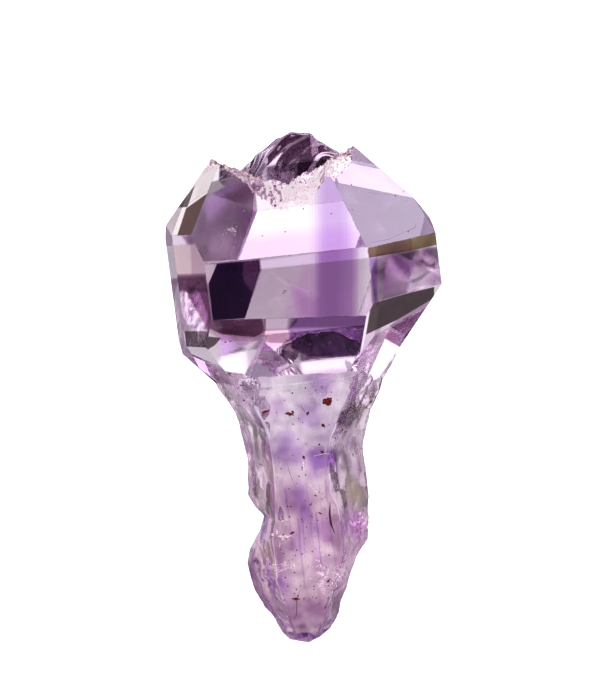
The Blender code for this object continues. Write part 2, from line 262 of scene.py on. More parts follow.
LIP_ROUGHNESS = 0.03
RIM_ROUGHNESS = 0.15
WALL_ROUGHNESS = 0.0
RIPPLE_START = Vector((2.6, 2.4, 6.0))
RIPPLE_LENGTH = 0.9
RIPPLE_GRAIN = 1.4
RIPPLE_WANDER = 0.6
RIPPLE_HEIGHT = 0.05
RIM_GRAINS = [(0.75, 1.0, 3.0), (0.34, 0.55, 8.0), (0.15, 0.20, 21.0)]

# Stem: height, left side, left and right corner of the front face, right side, front and back face
STEM_STATIONS = [
    (-3.4, -5.6, -2.6, 2.0, 4.9, -1.2, 5.2),
    (-4.2, -6.45, -3.6, 2.7, 5.28, -2.1, 6.1),
    (-4.6, -6.30, -3.95, 2.95, 5.12, -2.40, 5.9),
    (-5.2, -5.82, -3.90, 2.92, 4.70, -2.60, 5.55),
    (-5.9, -5.38, -3.55, 2.55, 4.15, -2.52, 5.05),
    (-6.7, -5.04, -3.15, 2.10, 3.70, -2.42, 4.65),
    (-7.7, -4.66, -2.75, 1.45, 3.15, -2.32, 4.30),
    (-8.7, -4.56, -2.64, 0.95, 2.72, -2.24, 4.10),
    (-9.7, -4.55, -2.62, 0.70, 2.44, -2.18, 4.00),
    (-11.0, -4.64, -2.72, 0.58, 2.50, -2.12, 4.05),
    (-11.9, -4.74, -2.80, 0.52, 2.44, -2.10, 4.05),
    (-12.7, -4.46, -2.88, 0.85, 2.40, -2.02, 3.95),
    (-13.25, -4.12, -2.95, 0.86, 2.36, -1.98, 3.80),
    (-13.7, -4.28, -3.05, 0.86, 2.34, -2.00, 3.75),
    (-14.3, -4.58, -3.15, 0.86, 2.30, -2.00, 3.80),
    (-15.3, -5.10, -3.22, 0.85, 2.00, -1.90, 3.90),
    (-16.0, -5.36, -3.30, 0.70, 1.50, -1.80, 3.85),
    (-16.9, -5.22, -3.35, 0.28, 1.05, -1.62, 3.60),
    (-17.9, -4.94, -3.25, -0.20, 0.48, -1.35, 3.25),
    (-18.8, -4.66, -3.10, -0.62, -0.05, -1.00, 2.85),
    (-19.6, -4.10, -2.95, -1.00, -0.34, -0.70, 2.45),
    (-20.4, -3.82, -2.80, -1.50, -0.85, -0.30, 1.95),
    (-20.9, -3.35, -2.65, -1.85, -1.45, 0.10, 1.55),
]
STEM_TIP = (-2.3, 0.8, -21.2)
STEM_SIDE_DEPTH = 0.85
STEM_BACK_WIDTH = 0.62
STEM_POINTS_PER_SIDE = 22
STEM_RINGS = 240
STEM_ROUGHNESS = 0.15
STEM_GRAIN = 1.3
STEM_STRETCH = 2.0
FLUTE_DEPTH = 0.14
CALM_FACES = {0: 0.22, 3: 0.35}
ETCH_DEPTH = 0.03
ETCH_GRAIN = 0.45
FACET_DEPTH = 0.09
FACET_SIZE = 1.1
# Broken patches on the stem: middle, reach, depth and grain
ROUGH_PATCHES = [
    ((0.2, -0.9, -17.2), 1.9, 0.24, 0.42),
    ((-4.2, -0.6, -16.6), 1.5, 0.16, 0.40),
    ((2.6, -1.2, -6.6), 1.8, 0.06, 0.75),
    ((-4.3, -1.6, -5.6), 1.6, 0.05, 0.70),
    ((1.9, 0.2, -14.6), 1.3, 0.16, 0.40),
]
STEM_TOP = -3.3
# Tints of the stem: darkest and palest, near the head and from the middle downwards
STEM_TINTS = ((0.28, 0.19, 0.32), (0.76, 0.70, 0.74))
LOW_TINTS = ((0.26, 0.13, 0.24), (0.68, 0.53, 0.58))
LOW_START = -8.5
LOW_RUN = 4.0
# Facets on the stem's sides: painted shade and painted glints of the cells, from the darkest to the
# palest
SIDE_LIGHT_AND_SHADE = [
    (0.13, 0.11, 0.12), (0.40, 0.32, 0.38), (0.62, 0.50, 0.60), (0.95, 0.86, 0.93),
    (0.30, 0.25, 0.27), (0.80, 0.62, 0.80),
]
SIDE_CELL = 0.62
SIDE_OFFSET = Vector((2.0, 0.74, 3.4))
SIDE_SPREAD = 0.9
SIDE_SHUFFLE = 5.3
SIDE_STEEP = 0.80
SIDE_FADE = 0.15
SIDE_ETCH = 0.02
NECK_ETCH = 0.12
NECK_END = -7.0
# Patches on the sides, painted shade where dark and painted glints where pale, later ones on top:
# middle, reach, tint
SIDE_LIGHT_PATCHES = [
    ((3.6, -1.5, -5.6), 1.9, (0.95, 0.84, 0.92)), ((-4.6, -1.5, -6.2), 2.0, (0.88, 0.76, 0.85)),
    ((2.4, -1.2, -7.9), 1.4, (0.10, 0.08, 0.10)), ((1.5, -1.1, -10.2), 1.1, (0.14, 0.11, 0.13)),
    ((2.2, -0.5, -12.3), 1.3, (0.42, 0.40, 0.24)), ((2.2, 0.3, -14.6), 1.3, (0.92, 0.64, 0.94)),
    ((1.1, -0.4, -16.8), 1.8, (0.98, 0.72, 0.93)), ((-4.8, 0.1, -16.9), 1.8, (0.26, 0.14, 0.28)),
]
CLOUD_SIZE = 2.2
MOTTLE_SIZE = 0.6
FRONT_ETCH = 0.03
BACK_ETCH = 0.08
RIM_TINT = (0.92, 0.76, 0.78)
RUST_TINT = (0.40, 0.18, 0.10)
RIM_ETCH = 0.05
STAIN_START = 7.1
STAIN_RISE = 0.6
STAIN_SIZE = 0.5
STAIN_MOTTLE = (0.6, 0.8)
EDGE_MOTTLE = (0.7, 0.6)
EDGE_STAIN = 0.5
EDGE_END = -1.3
RIGHT_STAIN = 0.8
RIM_BACK = 0.30
RIM_FRONT = 0.75
RIM_HALF_WIDTH = 4.35
# The hollow's back wall: grey at the left, near-black painted shade mottled low down, pale above, violet
# on top
WALL_GREY = (0.20, 0.16, 0.21)
WALL_PAINTED_SHADE = (0.0015, 0.0002, 0.001)
WALL_SHADE_MOTTLE = (0.05, 0.02, 0.05)
WALL_MIDDLE = (0.90, 0.74, 0.88)
WALL_TOP = (0.55, 0.40, 0.52)
WALL_GREY_END = -1.6
WALL_DARK_END = 7.45
WALL_TOP_START = 8.15
WALL_FADE = 0.25
WALL_CELL = 0.35
CLEAR = (1.0, 1.0, 1.0)

# Violet clouds in the stem: place, half sizes, light let through the middle
STEM_CLOUDS = [
    ((-1.8, -0.2, -9.0), (0.9, 1.3, 1.5), (0.66, 0.50, 0.80)),
    ((-1.3, 0.6, -9.8), (0.8, 1.2, 1.0), (0.74, 0.60, 0.85)),
    ((-0.1, -0.4, -9.9), (0.8, 1.2, 0.9), (0.46, 0.30, 0.66)),
    ((-0.3, 0.9, -10.4), (1.0, 1.2, 1.3), (0.74, 0.60, 0.85)),
    ((-0.3, 0.2, -7.3), (0.9, 1.3, 1.1), (0.70, 0.55, 0.82)),
    ((-2.2, 0.4, -6.6), (0.9, 1.3, 1.0), (0.76, 0.60, 0.84)),
    ((0.7, 0.6, -5.6), (1.1, 1.5, 0.9), (0.74, 0.58, 0.86)),
    ((-1.7, 0.9, -12.2), (1.0, 1.4, 1.7), (0.68, 0.52, 0.82)),
    ((-1.2, 0.3, -13.6), (0.8, 1.3, 2.2), (0.62, 0.46, 0.78)),
    ((-2.1, 0.2, -14.8), (0.8, 1.2, 1.5), (0.72, 0.56, 0.84)),
    ((-3.6, 0.9, -13.9), (0.35, 0.8, 1.6), (0.46, 0.28, 0.62)),
    ((-3.4, 0.7, -16.9), (0.8, 0.9, 1.6), (0.58, 0.38, 0.74)),
    ((-0.9, 0.8, -16.1), (0.7, 0.9, 1.2), (0.74, 0.56, 0.84)),
    ((-0.3, 1.0, -14.3), (0.7, 1.0, 1.2), (0.74, 0.50, 0.86)),
    ((1.0, 0.7, -14.3), (0.6, 0.8, 1.3), (0.74, 0.42, 0.86)),
]
# Uneven outline of a cloud: height, pace and offset of each wave
CLOUD_OUTLINE = 0.95
CLOUD_WAVES = [(0.35, 1.6, 0.0), (0.20, 4.0, 2.0)]
CLOUD_LIMIT = 1.1
# Flecks of iron oxide: place, half length, half width, turn in degrees
FLECKS = [
    ((1.1, -1.9, -6.5), 0.28, 0.19, 10), ((-2.7, -1.9, -6.7), 0.20, 0.07, -15),
    ((-1.3, -1.8, -7.0), 0.20, 0.10, 20), ((-1.1, -1.7, -6.9), 0.09, 0.06, 70),
    ((-0.2, -1.8, -7.1), 0.10, 0.06, -50), ((0.6, -1.7, -7.9), 0.10, 0.07, 60),
    ((0.2, -1.6, -9.0), 0.06, 0.05, 0), ((0.3, -1.6, -9.5), 0.09, 0.06, 30),
    ((-0.8, -1.5, -9.7), 0.10, 0.06, 80), ((-0.4, -1.5, -12.0), 0.07, 0.04, 20),
    ((-0.3, -1.4, -13.1), 0.08, 0.05, 40), ((-2.1, -1.4, -14.1), 0.12, 0.07, -20),
    ((1.5, 0.3, -14.1), 0.09, 0.05, 80), ((-2.5, -0.6, -18.1), 0.18, 0.07, 5),
    ((-4.2, -3.6, -2.1), 0.06, 0.05, 0), ((-3.9, -3.7, -2.1), 0.05, 0.04, 0),
    ((-3.8, -1.6, -5.1), 0.07, 0.05, 30), ((-4.0, 0.0, -6.2), 0.06, 0.05, 0),
    ((-0.2, -4.9, 0.4), 0.09, 0.02, 10), ((-0.3, -4.9, 0.3), 0.07, 0.02, -20),
    ((1.35, -1.2, -8.1), 0.09, 0.06, 30), ((1.55, -1.0, -8.4), 0.06, 0.05, 80),
    ((1.25, -1.2, -8.5), 0.05, 0.04, 10), ((1.7, -0.9, -8.6), 0.07, 0.03, -40),
]
FLECK_THICKNESS = 0.05
# Needles and stained cracks: width and the points that each runs through
NEEDLES = [
    (0.035, [(-0.6, -1.9, -6.5), (-0.45, -1.85, -6.8), (-0.25, -1.8, -7.1)]),
    (0.120, [(0.4, -1.6, -12.5), (0.28, -1.6, -13.2), (0.3, -1.6, -13.8), (0.45, -1.55, -14.4)]),
    (0.040, [(-2.1, -0.9, -17.6), (-2.5, -0.6, -18.1), (-2.6, -0.1, -18.9), (-2.8, 0.2, -19.7)]),
    (0.080, [(-3.5, 0.0, -17.6), (-3.3, -0.3, -17.85), (-3.1, -0.6, -18.1)]),
    (0.025, [(-1.9, -1.4, -9.6), (-1.75, -1.4, -10.6), (-1.5, -1.4, -11.6)]),
    (0.025, [(0.3, -1.4, -11.6), (0.0, -1.3, -12.1)]),
    (0.025, [(-2.6, -1.1, -14.9), (-2.2, -1.0, -15.2)]),
    (0.025, [(-2.3, -1.1, -15.0), (-2.6, -1.0, -15.5)]),
    (0.030, [(-4.3, 0.4, -17.2), (-3.9, 0.2, -17.7)]),
]
NEEDLE_TIP = 0.25
# How uneven a grain's outline is
ANGULAR = 0.9
BLUNT = 0.6
ROUND = 0.2
# Shader values of the small pieces
MINERAL = {"Roughness": 0.35, "Specular IOR Level": 0.3}
HEMATITE = (0.34, 0.02, 0.02)
GOETHITE = (0.20, 0.03, 0.025)
RUST = (0.30, 0.11, 0.06)
RUST_SPECK = (0.34, 0.10, 0.07)
GAS_ROUGHNESS = 0.2
SUGAR = {
    "Base Color": (0.95, 0.78, 0.82, 1.0), "Roughness": 0.15, "Transmission Weight": 0.7, "IOR": 1.45,
}
# Milky veils, with a faint emission that is a painted glow
MILK_AND_GLOW = {
    "Base Color": (0.97, 0.93, 0.96, 1.0), "Roughness": 0.4, "Transmission Weight": 0.35, "IOR": 1.3,
    "Emission Color": (1.0, 0.96, 1.0, 1.0), "Emission Strength": 0.35,
}
STRIATION = (0.72, 0.58, 0.82)
STRIATION_RANGE = (-2.3, 0.2)
STRIATION_WIDTH = (0.04, 0.20)
STRIATION_GAP = (0.08, 0.42)
STRIATION_TOP = (-13.6, -11.0)
STRIATION_FOOT = (-17.6, -15.0)
STRIATION_FRONT = (-1.2, -0.9)
STRIATION_BACK = (-0.5, 0.0)
STRIATION_DEPTH = 0.8
SPECK_COUNT = 260
SPECK_SIZES = (0.018, 0.055)
SPECK_HEIGHTS = (-18.6, -5.2)
SPECK_MARGINS = (0.5, 0.4)
SPECK_COVER = 0.28
SPECK_REACH = 1.4
# Veils of gas bubbles: middle, spread, number, smallest and largest radius
VEILS = [
    ((-3.5, -1.2, -5.0), (0.45, 0.3, 0.4), 40, 0.02, 0.07),
    ((-0.6, -0.3, -17.0), (0.6, 0.4, 1.3), 130, 0.03, 0.10),
    ((-2.7, -1.0, -14.3), (0.5, 0.15, 0.16), 40, 0.02, 0.05),
    ((-2.7, -0.7, -16.0), (0.8, 0.2, 0.25), 50, 0.02, 0.06),
    ((-2.95, -3.40, 4.05), (0.35, 0.2, 0.35), 40, 0.015, 0.045),
    ((0.5, -1.6, -6.2), (1.2, 0.3, 0.5), 30, 0.02, 0.05),
]
BUBBLE_MARGIN = 0.5
BUBBLE_COVER = 0.2
# Open cracks, seen edge on: the points along each, and how far it runs in
CRACKS = [
    ([(-0.9, -1.5, -9.9), (-0.95, -1.5, -10.6), (-0.7, -1.5, -11.2), (-0.3, -1.5, -11.8)], 0.9),
    ([(0.5, -1.4, -9.6), (0.1, -1.4, -9.65), (-0.2, -1.4, -9.7)], 0.07),
    ([(-3.2, -1.1, -16.3), (-2.7, -1.1, -16.1), (-2.2, -1.1, -16.15), (-1.9, -1.1, -15.7)], 0.5),
]
CRACK_GAP = 0.02
CRACK_WAVE = 0.12
CRACK_SLOPE = -0.2
# Specks close under single faces, as points on the face
SPECK_DEPTH = 0.14
PALE_SPECKS = {
    "upper_front": [
        (-3.78, -1.88, 6.62), (-2.96, -2.23, 6.19), (-2.26, -3.0, 5.21), (-3.04, -3.74, 4.3),
        (-2.75, -3.68, 4.37), (-3.34, -3.85, 4.16),
    ],
    "front": [
        (-3.47, -5.2, -0.13), (-2.78, -5.2, 0.6), (-2.78, -5.2, 0.19), (-2.96, -5.2, 1.02),
        (-3.87, -5.2, 0.32), (-4.22, -5.2, 0.82),
    ],
    "lower_front": [
        (0.68, -3.87, -2.96), (1.2, -4.3, -2.45), (0.53, -4.36, -2.31), (1.34, -3.76, -3.17),
        (0.84, -3.62, -3.3), (1.85, -3.94, -2.97), (2.66, -3.73, -3.32), (3.17, -4.55, -2.31),
        (0.48, -3.38, -3.58),
    ],
    "lower_front_right": [
        (4.96, -3.03, -2.2), (5.98, -2.26, -1.45), (5.75, -2.49, -1.58), (6.35, -1.7, -1.37),
        (6.69, -1.63, -1.0), (5.19, -2.48, -2.28), (5.97, -1.5, -1.99),
    ],
}
RED_SPECKS = {
    "upper_front_right": [
        (4.93, 1.15, 6.3), (5.14, 1.18, 6.09), (6.24, 1.1, 4.83), (6.66, 2.02, 4.97), (6.82, 1.47, 4.45),
        (3.97, -1.13, 5.87), (3.99, -2.04, 5.27), (4.06, -3.1, 4.5), (6.92, -0.98, 2.74),
    ],
    "upper_front": [
        (-1.23, -4.2, 3.7), (-0.09, -3.05, 5.12), (1.2, -3.2, 4.91), (2.82, -3.56, 4.45),
        (0.11, -4.13, 3.76),
    ],
    "lower_front": [
        (-0.28, -4.19, -2.47), (-0.75, -2.96, -4.01),
    ],
}
PALE_SIZES = (0.02, 0.05)
RED_SIZES = (0.02, 0.045)
SPECK_SHAPE = (0.6, 1.5)
# Edges of growth steps, as lines on one face
GROWTH_LINES = [
    [(4.85, -4.77, 2.55), (5.89, -3.05, 2.53), (6.67, -1.41, 2.74), (7.26, -0.22, 2.86),
     (7.26, 0.29, 3.19)],
    [(4.13, -1.42, 5.51), (5.15, -0.25, 5.15), (6.19, 0.94, 4.79), (6.61, 1.18, 4.49)],
]
GROWTH_FACE = "upper_front_right"
GROWTH_WIDTH = 0.035
# Tiny chips along the sharp edges
CHIP_STEP = 0.10
CHIP_SHARE = 0.75
CHIP_WIDTH = (0.008, 0.022)
CHIP_LENGTH = (0.06, 0.16)
CHIP_DEPTH = 0.035
# Crushed grains on the rim
GRAIN_SHARE = 0.07
PEAK_SHARE = 0.5
GRAIN_SIZE = 0.075
GRAIN_SPREAD = (0.35, 1.0)
GRAIN_SHAPE = (0.6, 1.4)
GRAIN_LIFT = 0.2
RUST_SHRINK = 0.6
STAIN_CHANCE = 0.08
EDGE_CHANCE = 0.55
STAIN_REACH = 0.5
PEAKS = [(-4.0, -0.5, 8.1), (3.9, 1.7, 7.9)]

WORLD_BASE = (0.92, 0.88, 0.92)
# Soft light by direction, as seen through the crystal: lattice azimuth and elevation, full and
# fading radius in degrees, colour
SKY_PATCHES = [
    (180.0, -8.0, 28.0, 50.0, (1.45, 1.45, 1.45)),
    (180.0, -50.0, 20.0, 44.0, (1.20, 1.20, 1.20)),
    (-100.0, -80.0, 25.0, 45.0, (2.0, 2.0, 2.0)),
    (-134.0, -36.0, 10.0, 20.0, (2.6, 2.6, 2.6)),
    (144.0, -3.0, 6.0, 13.0, (0.85, 0.70, 0.70)),
    (69.0, 45.0, 12.0, 22.0, (1.9, 1.9, 1.9)),
    (-53.0, 71.0, 8.0, 15.0, (1.7, 1.7, 1.7)),
    (30.0, -16.0, 10.0, 18.0, (3.8, 3.8, 3.8)),
    (42.0, -48.0, 10.0, 22.0, (4.5, 4.5, 4.5)),
    (-2.0, 3.0, 8.0, 16.0, (2.1, 2.1, 2.1)),
    (14.0, -44.0, 7.0, 12.0, (3.6, 3.6, 3.6)),
    (-9.0, -27.0, 9.0, 14.0, (0.10, 0.04, 0.09)),
]
MIRRORED = (0.08, 0.07, 0.09)
BACKDROP = (0.96, 0.96, 0.96)
FLOOR_HALF_SIZE = 1.5
PALE_FLOOR = {
    "Base Color": (0.8, 0.8, 0.8, 1.0), "Roughness": 0.7,
    "Emission Color": (1.0, 1.0, 1.0, 1.0), "Emission Strength": 0.75,
}
# Lamps: name, place and width in metres, power in watts
LAMPS = [
    ("key_light", (-0.20, 0.22, 0.22), 0.16, 0.5),
    ("fill_light", (0.28, -0.06, 0.20), 0.12, 0.25),
]
CAMERA_PLACE = (0.021244, -0.043611, 0.166985)
CAMERA_TURN = (15.2302, 9.0760, -4.3642)
CAMERA_LENS = 150.0
CAMERA_NEAR = 0.001


def clamp(value):
    return max(0.0, min(1.0, value))


def between(first, second, share):
    return [a + (b - a) * share for a, b in zip(first, second)]


def blend(first, second, share):
    return between(first, second, clamp(share))


def face_normal(azimuth, elevation):
    turn, rise = math.radians(azimuth), math.radians(elevation)
    across = math.cos(rise)
    return Vector((math.sin(turn) * across, -math.cos(turn) * across, math.sin(rise)))


PLANES = {
    name: (face_normal(azimuth, elevation), distance)
    for name, (azimuth, elevation, distance) in HEAD_FACES.items()
}


def cut_flat(mesh, point, normal):
    """Cut away everything beyond a plane and close the cut with one flat face."""
    everything = mesh.verts[:] + mesh.edges[:] + mesh.faces[:]
    bmesh.ops.bisect_plane(
        mesh, geom=everything, dist=CUT_TOLERANCE, plane_co=point, plane_no=normal,
        clear_outer=True,
    )
    rim = [edge for edge in mesh.edges if edge.is_boundary]
    if rim:
        bmesh.ops.edgeloop_fill(mesh, edges=rim)


def crystal_head():
    """The head with every face whole."""
    mesh = bmesh.new()
    bmesh.ops.create_cube(mesh, size=ROUGH_BLOCK)
    for normal, distance in PLANES.values():
        cut_flat(mesh, normal * distance, normal)
    cut_flat(mesh, Vector((0.0, 0.0, HEAD_BOTTOM)), Vector((0.0, 0.0, -1.0)))
    bmesh.ops.recalc_face_normals(mesh, faces=mesh.faces)
    return mesh


def along(line, position):
    """Point at a left-to-right position, given as an x value, on a line of points."""
    if position <= line[0][0]:
        return Vector(line[0])
    for start, end in zip(line, line[1:]):
        if position <= end[0]:
            share = (position - start[0]) / (end[0] - start[0])
            return Vector(start).lerp(Vector(end), share)
    return Vector(line[-1])


def grain(point, size, seed):
    """Faceted noise between -1 and 1: flat-topped cells of one size, as sugary quartz has."""
    place = point / size + Vector((seed, 0.37 * seed, 1.7 * seed))
    near, far = noise.voronoi(place)[0][:2]
    return 1.0 - 2.0 * near + 0.5 * (far - near)


def ripple(point):
    """Shell-shaped waves of a clean break, spreading from one point."""
    reach = (point - RIPPLE_START).length
    wave = reach / RIPPLE_LENGTH + RIPPLE_WANDER * noise.noise(point / RIPPLE_GRAIN)
    return RIPPLE_HEIGHT * math.sin(2.0 * math.pi * wave)


def band_share(band, share):
    """How much of the wall's waves shows: none on the rim, all from the floor upwards."""
    return clamp(band + share - 1.0)


def hollow_cutter():
    """Closed solid above the hollow: down the broken rim, over the floor, up the wall."""
    lines = [LIP_LINE, RIM_LINE, FLOOR_LINE, WALL_FOOT_LINE, WALL_TOP_LINE, BACK_LINE]
    rough = [LIP_ROUGHNESS] + [RIM_ROUGHNESS] * 2 + [WALL_ROUGHNESS] * 3
    left, right = RIM_LINE[0][0], RIM_LINE[-1][0]
    mesh = bmesh.new()
    rows = []
    for band in range(len(lines) - 1):
        last = band == len(lines) - 2
        for step in range(HOLLOW_ROWS_PER_BAND + last):
            share = step / HOLLOW_ROWS_PER_BAND
            height = rough[band] + (rough[band + 1] - rough[band]) * share
            row = []
            for column in range(HOLLOW_COLUMNS + 1):
                across = left + (right - left) * column / HOLLOW_COLUMNS
                point = along(lines[band], across).lerp(along(lines[band + 1], across), share)
                point.x = across
                bumps = sum(part * grain(point, size, seed) for size, part, seed in RIM_GRAINS)
                point.z += height * bumps + ripple(point) * band_share(band, share)
                row.append(mesh.verts.new(point))
            rows.append(row)
    for front, back in zip(rows, rows[1:]):
        for j in range(len(front) - 1):
            mesh.faces.new((front[j], front[j + 1], back[j + 1], back[j]))
    bmesh.ops.triangulate(mesh, faces=mesh.faces)
    raised = bmesh.ops.extrude_face_region(mesh, geom=mesh.faces[:], use_keep_orig=True)
    for item in raised["geom"]:
        if isinstance(item, bmesh.types.BMVert):
            item.co.z = HOLLOW_LID
    bmesh.ops.recalc_face_normals(mesh, faces=mesh.faces)
    return mesh


def station_at(height):
    """The stem's outline at one height, between the two nearest stations."""
    for above, below in zip(STEM_STATIONS, STEM_STATIONS[1:]):
        if height >= below[0]:
            share = (above[0] - height) / (above[0] - below[0])
            return between(above[1:], below[1:], share)
    return list(STEM_STATIONS[-1][1:])


def stem_relief(point):
    """Height of the lumps, facets and fine etching on the stem at one point."""
    place = Vector((point.x, point.y, point.z / STEM_STRETCH))
    height = STEM_ROUGHNESS * noise.noise(place / STEM_GRAIN)
    height += FACET_DEPTH * grain(place, FACET_SIZE, 2.0)
    height += ETCH_DEPTH * grain(place, ETCH_GRAIN, 5.0)
    for middle, reach, depth, size in ROUGH_PATCHES:
        near = max(0.0, 1.0 - (point - Vector(middle)).length / reach)
        height += depth * near * grain(point, size, 9.0)
    return height


def stem_ring(height):
    """One six-sided cross-section of the stem, with a shallow flute along each side."""
    left, front_left, front_right, right, front, back = station_at(height)
    middle = Vector(((left + right) / 2, STEM_SIDE_DEPTH, height))
    reach = STEM_BACK_WIDTH * (right - left) / 2
    corners = [
        Vector((front_left, front, height)), Vector((front_right, front, height)),
        Vector((right, middle.y, height)), Vector((middle.x + reach, back, height)),
        Vector((middle.x - reach, back, height)), Vector((left, middle.y, height)),
    ]
    ring = []
    for side, (start, end) in enumerate(zip(corners, corners[1:] + corners[:1])):
        for step in range(STEM_POINTS_PER_SIDE):
            share = step / STEM_POINTS_PER_SIDE
            point = start.lerp(end, share)
            outward = (point - middle).normalized()
            calm = CALM_FACES.get(side, 1.0)
            bow = math.sin(math.pi * share)
            rise = stem_relief(point) * (1.0 + (calm - 1.0) * bow) - FLUTE_DEPTH * calm * bow
            ring.append(point + outward * rise)
    return ring


def crystal_stem():
    """The stem from inside the head down to its broken foot."""
    mesh = bmesh.new()
    top, bottom = STEM_STATIONS[0][0], STEM_STATIONS[-1][0]
    rings = []
    for index in range(STEM_RINGS + 1):
        height = top + (bottom - top) * index / STEM_RINGS
        rings.append([mesh.verts.new(point) for point in stem_ring(height)])
    for upper, lower in zip(rings, rings[1:]):
        for j in range(len(upper)):
            k = (j + 1) % len(upper)
            mesh.faces.new((upper[j], lower[j], lower[k], upper[k]))
    tip = mesh.verts.new(STEM_TIP)
    for j in range(len(rings[-1])):
        mesh.faces.new((rings[-1][j], tip, rings[-1][(j + 1) % len(rings[-1])]))
    mesh.faces.new(rings[0])
    bmesh.ops.triangulate(mesh, faces=mesh.faces)
    bmesh.ops.recalc_face_normals(mesh, faces=mesh.faces)
    return mesh


def piece(name, mesh, material=None):
    """New object from a mesh in the lattice frame; the mesh is laid down when it is finished."""
    data = bpy.data.meshes.new(name)
    mesh.to_mesh(data)
    mesh.free()
    item = bpy.data.objects.new(name, data)
    bpy.context.scene.collection.objects.link(item)
    if material:
        data.materials.append(material)
    return item


def combine(target, other, operation):
    """Join or cut two solids and remove the second."""
    step = target.modifiers.new(operation.title(), "BOOLEAN")
    step.operation = operation
    step.solver = "MANIFOLD"
    step.object = other
    evaluated = target.evaluated_get(bpy.context.evaluated_depsgraph_get())
    result = bpy.data.meshes.new_from_object(evaluated)
    target.modifiers.clear()
    target.data = result
    bpy.data.objects.remove(other, do_unlink=True)


# Materials


def plain_material(name, settings):
    """Material with one value for each of these sockets of its shader."""
    material = bpy.data.materials.new(name)
    material.use_nodes = True
    shader = material.node_tree.nodes["Principled BSDF"]
    for socket, value in settings.items():
        shader.inputs[socket].default_value = value
    return material


def new_node(tree, kind, inputs, **settings):
    """New node; each input gets a plain value or the output of another node."""
    node = tree.nodes.new(kind)
    for name, value in settings.items():
        setattr(node, name, value)
    for name, value in inputs.items():
        if isinstance(value, bpy.types.NodeSocket):
            tree.links.new(value, node.inputs[name])
        else:
            node.inputs[name].default_value = value
    return node


def mix(tree, factor, first, second, blend_type="MIX"):
    inputs = {"Factor": factor, "A": first, "B": second}
    settings = {"data_type": "RGBA", "blend_type": blend_type}
    return new_node(tree, "ShaderNodeMix", inputs, **settings).outputs["Result"]


def product(tree, first, second):
    inputs = {0: first, 1: second}
    return new_node(tree, "ShaderNodeMath", inputs, operation="MULTIPLY").outputs["Value"]


def absorption(material, colour, density):
    tree = material.node_tree
    inputs = {"Color": (*colour, 1.0), "Density": density}
    volume = new_node(tree, "ShaderNodeVolumeAbsorption", inputs)
    tree.links.new(volume.outputs["Volume"], tree.nodes["Material Output"].inputs["Volume"])


def attribute(tree, name, output):
    return new_node(tree, "ShaderNodeAttribute", {}, attribute_name=name).outputs[output]


def quartz_material():
    """Clear quartz, tinted and etched face by face, with faint clouds in the tint; the tint holds
    painted shade and highlights on some faces and on the stem's sides.
    """
    material = plain_material("amethyst", {"Transmission Weight": 1.0, "IOR": QUARTZ_IOR})
    tree = material.node_tree
    place = new_node(tree, "ShaderNodeTexCoord", {}).outputs["Object"]
    clouds = new_node(tree, "ShaderNodeTexNoise", {"Vector": place, **CLOUD_NOISE}).outputs["Fac"]
    spread = new_node(tree, "ShaderNodeMapRange", {"Value": clouds, **CLOUD_RANGE}).outputs["Result"]
    strength = product(tree, spread, attribute(tree, "clouded", "Fac"))
    tint = attribute(tree, "tint", "Color")
    shade = mix(tree, strength, tint, (*CLOUD_COLOUR, 1.0), "MULTIPLY")
    shader = tree.nodes["Principled BSDF"]
    tree.links.new(shade, shader.inputs["Base Color"])
    tree.links.new(attribute(tree, "etch", "Fac"), shader.inputs["Roughness"])
    absorption(material, QUARTZ_COLOUR, QUARTZ_DENSITY)
    return material


def cell_light_and_shade(point):
    """One tone of painted light and shade from the palette for each facet cell of the stem's sides."""
    place = Vector((point.x, point.y, point.z / STEM_STRETCH)) / SIDE_CELL
    nearest = noise.voronoi(place + SIDE_OFFSET)[1][0]
    value = 0.5 + SIDE_SPREAD * noise.noise(nearest * SIDE_SHUFFLE)
    return SIDE_LIGHT_AND_SHADE[int(max(0.0, min(0.999, value)) * len(SIDE_LIGHT_AND_SHADE))]


def stem_tint_and_painted_light(point, normal):
    """Tint and etched roughness of the stem: clear in front, facets with painted shade and glints along
    its sides.
    """
    front = max(0.0, -normal.y)
    low = (LOW_START - point.z) / LOW_RUN
    cloud = 0.5 + noise.noise(point / CLOUD_SIZE) + 0.5 * noise.noise(point / MOTTLE_SIZE)
    dark, pale = (blend(top, foot, low) for top, foot in zip(STEM_TINTS, LOW_TINTS))
    tint = blend(dark, pale, cloud)
    if normal.y > 0.0:
        return tint, BACK_ETCH
    # faces turned sideways take the painted shade and glints of the facet cells
    side = clamp((SIDE_STEEP - front) / SIDE_FADE)
    shade = cell_light_and_shade(point)
    for middle, reach, colour in SIDE_LIGHT_PATCHES:
        shade = blend(shade, colour, 2.0 * (1.0 - (point - Vector(middle)).length / reach))
    rough = NECK_ETCH if point.z > NECK_END else SIDE_ETCH
    return blend(tint, shade, side), FRONT_ETCH + (rough - FRONT_ETCH) * side


def wall_tint_and_shade(point):
    """Tint of the hollow's back wall, with painted shade low down."""
    shade_mottle = 0.5 + 0.5 * grain(point, WALL_CELL, 4.0)
    low = blend(WALL_PAINTED_SHADE, WALL_SHADE_MOTTLE, shade_mottle)
    tint = blend(low, WALL_MIDDLE, (point.z - WALL_DARK_END) / WALL_FADE + 0.5)
    tint = blend(tint, WALL_TOP, (point.z - WALL_TOP_START) / WALL_FADE + 0.5)
    return blend(tint, WALL_GREY, (WALL_GREY_END - point.x) / WALL_FADE + 0.5)


